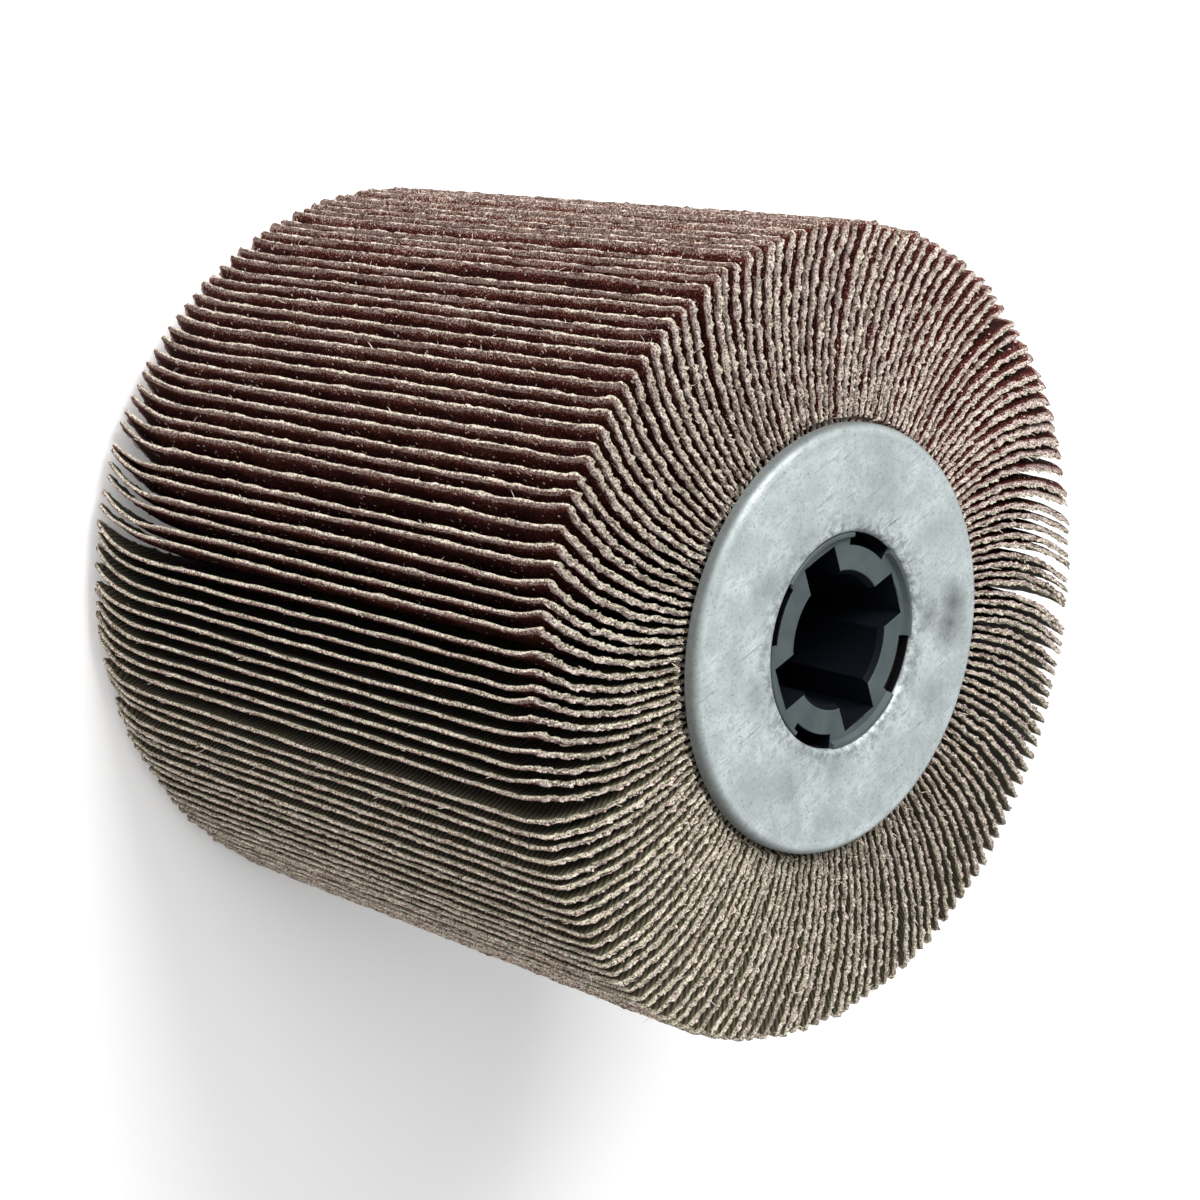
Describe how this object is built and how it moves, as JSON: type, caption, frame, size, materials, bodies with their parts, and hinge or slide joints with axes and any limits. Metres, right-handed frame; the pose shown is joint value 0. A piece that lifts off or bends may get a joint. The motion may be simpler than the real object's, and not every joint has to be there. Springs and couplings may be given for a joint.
{
  "type": "flap wheel",
  "caption": "Abrasive cloth flap drum on a keyed plastic core between two pressed steel end discs, for satin finishing on a keyed spindle.",
  "frame": {"origin": "on the wheel's axis, at the flat face of the lower end disc that it stands on", "axes": "+Z along the wheel's axis, out of the bore at the upper end disc; the keyways lie on the X and Y axes"},
  "size_m": [0.12, 0.12, 0.1045],
  "materials": {
    "abrasive_cloth": "coarse grain on twill cloth, dark maroon brown with beige cut edges",
    "core_plastic": "dark grey moulded, matte",
    "disc_steel": "zinc-grey pressed sheet with light scratches and smudges"
  },
  "bodies": {
    "root": {"flap_pack": "abrasive_cloth", "keyed_core": "core_plastic", "lower_end_disc": "disc_steel", "upper_end_disc": "disc_steel"}
  },
  "joints": []
}
